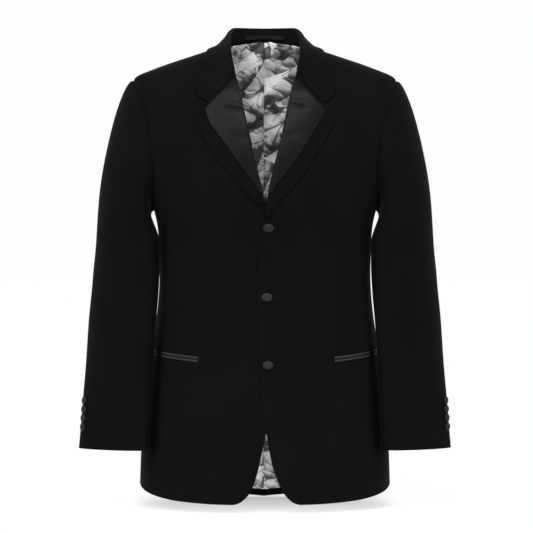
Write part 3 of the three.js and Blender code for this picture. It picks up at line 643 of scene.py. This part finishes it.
# Stitched lines that lie on a piece, from points seen from the front
def laid_line(name, carrier, points, radius, slot, rise=0.0):
    tree = BVHTree.FromObject(pieces[carrier], bpy.context.evaluated_depsgraph_get())
    curve = bpy.data.curves.new(name, "CURVE")
    curve.dimensions = "3D"
    curve.bevel_depth = radius
    curve.bevel_resolution = 2
    curve.use_fill_caps = True
    spline = curve.splines.new("POLY")
    spline.points.add(len(points) - 1)
    for point, (x, z) in zip(spline.points, points):
        hit, normal, _, _ = tree.ray_cast(Vector((x, -0.4, z)), Vector((0, 1, 0)))
        point.co = (*(hit + normal * rise), 1)
    line = bpy.data.objects.new(name, curve)
    scene.collection.objects.link(line)
    return dress(line, slot)


# A worked buttonhole: a ring of stitches round a slit
def buttonhole(index, near, far, height):
    around = 28
    half = 0.0012
    points = []
    for k in range(around + 1):
        turn = 2 * math.pi * k / around
        x = (near + far) / 2 + (far - near) / 2 * math.cos(turn)
        points.append((x, height + half * math.sin(turn)))
    laid_line(f"buttonhole_{index}", "front_left", points, 0.00055, "satin", 0.0001)


for i, (near, far, height) in enumerate(BUTTONHOLES):
    buttonhole(i + 1, near, far, height)

# Floor, lights and camera
FLOOR = -0.775
# Painted light on the floor: its glow, which lifts the jacket's shadow, rises towards the viewer: y and glow
# of both ends.
FLOOR_PAINTED_GLOW = [(-0.15, 0.86), (0.13, 0.36)]
# Beside the jacket the floor glows fully, painted light that takes out the key light's shadow: |x| where
# that starts and is complete.
FLOOR_SIDES_PAINTED_GLOW = (0.16, 0.24)
# The picture's width in pixels, then a level camera in front of the jacket.
PICTURE = 533
CAMERA = {"distance": 3.5, "height": -0.3655, "slant": 0.0195, "centre": 0.0026, "mm_per_px": 1.72}

floor_mesh = bpy.data.meshes.new("floor")
reach = 14
floor_mesh.from_pydata(
    [(-reach, -reach, FLOOR), (reach, -reach, FLOOR), (reach, reach * 4, FLOOR), (-reach, reach * 4, FLOOR)],
    [], [(0, 1, 2, 3)],
)
floor = bpy.data.objects.new("floor", floor_mesh)
scene.collection.objects.link(floor)
white, tree, shader = material("white_floor", (0.5,) * 3, 0.95, 0.0)
shader.inputs["Emission Color"].default_value = (1, 1, 1, 1)
parts = node(tree, "ShaderNodeSeparateXYZ")
tree.links.new(place_of(tree), parts.inputs["Vector"])
(near, near_painted_glow), (far, far_painted_glow) = FLOOR_PAINTED_GLOW
# Painted light: the floor's glow lifts the jacket's shadow towards the viewer and beside the jacket.
painted_glow = node(tree, "ShaderNodeMapRange", {
    "From Min": near, "From Max": far, "To Min": near_painted_glow, "To Max": far_painted_glow,
}, clamp=True)
tree.links.new(parts.outputs["Y"], painted_glow.inputs["Value"])
side = maths(tree, "ABSOLUTE", parts.outputs["X"], 0.0)
level = maths(tree, "MAXIMUM", painted_glow.outputs["Result"], mapped(tree, side, *FLOOR_SIDES_PAINTED_GLOW, 0, 0.97))
tree.links.new(level, shader.inputs["Emission Strength"])
tree.links.new(maths(tree, "SUBTRACT", 1.0, level), shader.inputs["Base Color"])
floor_mesh.materials.append(white)

world = bpy.data.worlds.new("studio")
world.use_nodes = True
sky = world.node_tree.nodes["Background"]
sky.inputs["Color"].default_value = (0.991, 0.991, 0.991, 1)
sky.inputs["Strength"].default_value = 1.0
scene.world = world

# Area lights: name, where, what each points at, size across and up, power, spread in degrees.
LIGHTS = [
    ("key", (-1.2, -1.7, 1.75), (0, 0, 0.02), 2.2, 2.2, 10, 60),
    ("fill", (1.9, -2.4, 0.5), (0, 0, -0.4), 1.6, 2.0, 15, 180),
    ("neck", (0.1, -1.2, 1.2), (0, 0.1, -0.05), 0.6, 0.6, 10, 180),
    ("hem", (0.02, -1.6, -0.62), (0, 0.1, -0.72), 0.12, 0.12, 0.2, 30),
]
for name, where, aim, wide, tall, power, spread in LIGHTS:
    data = bpy.data.lights.new(name, "AREA")
    data.shape = "RECTANGLE"
    data.size = wide
    data.size_y = tall
    data.energy = power
    data.spread = math.radians(spread)
    lamp = bpy.data.objects.new(name, data)
    lamp.location = where
    lamp.rotation_euler = (Vector(aim) - Vector(where)).to_track_quat("-Z", "Y").to_euler()
    scene.collection.objects.link(lamp)

camera_data = bpy.data.cameras.new("camera")
half_frame = PICTURE / 2 * CAMERA["mm_per_px"] / 1000
camera_data.sensor_width = 36
camera_data.lens = 18 * CAMERA["distance"] / half_frame
camera = bpy.data.objects.new("camera", camera_data)
camera.location = (
    CAMERA["centre"] - CAMERA["slant"] * CAMERA["distance"], -CAMERA["distance"], CAMERA["height"],
)
camera.rotation_euler = (math.pi / 2, 0, -math.atan(CAMERA["slant"]))
scene.collection.objects.link(camera)
scene.camera = camera
scene.view_settings.view_transform = "Standard"
scene.view_settings.look = "None"
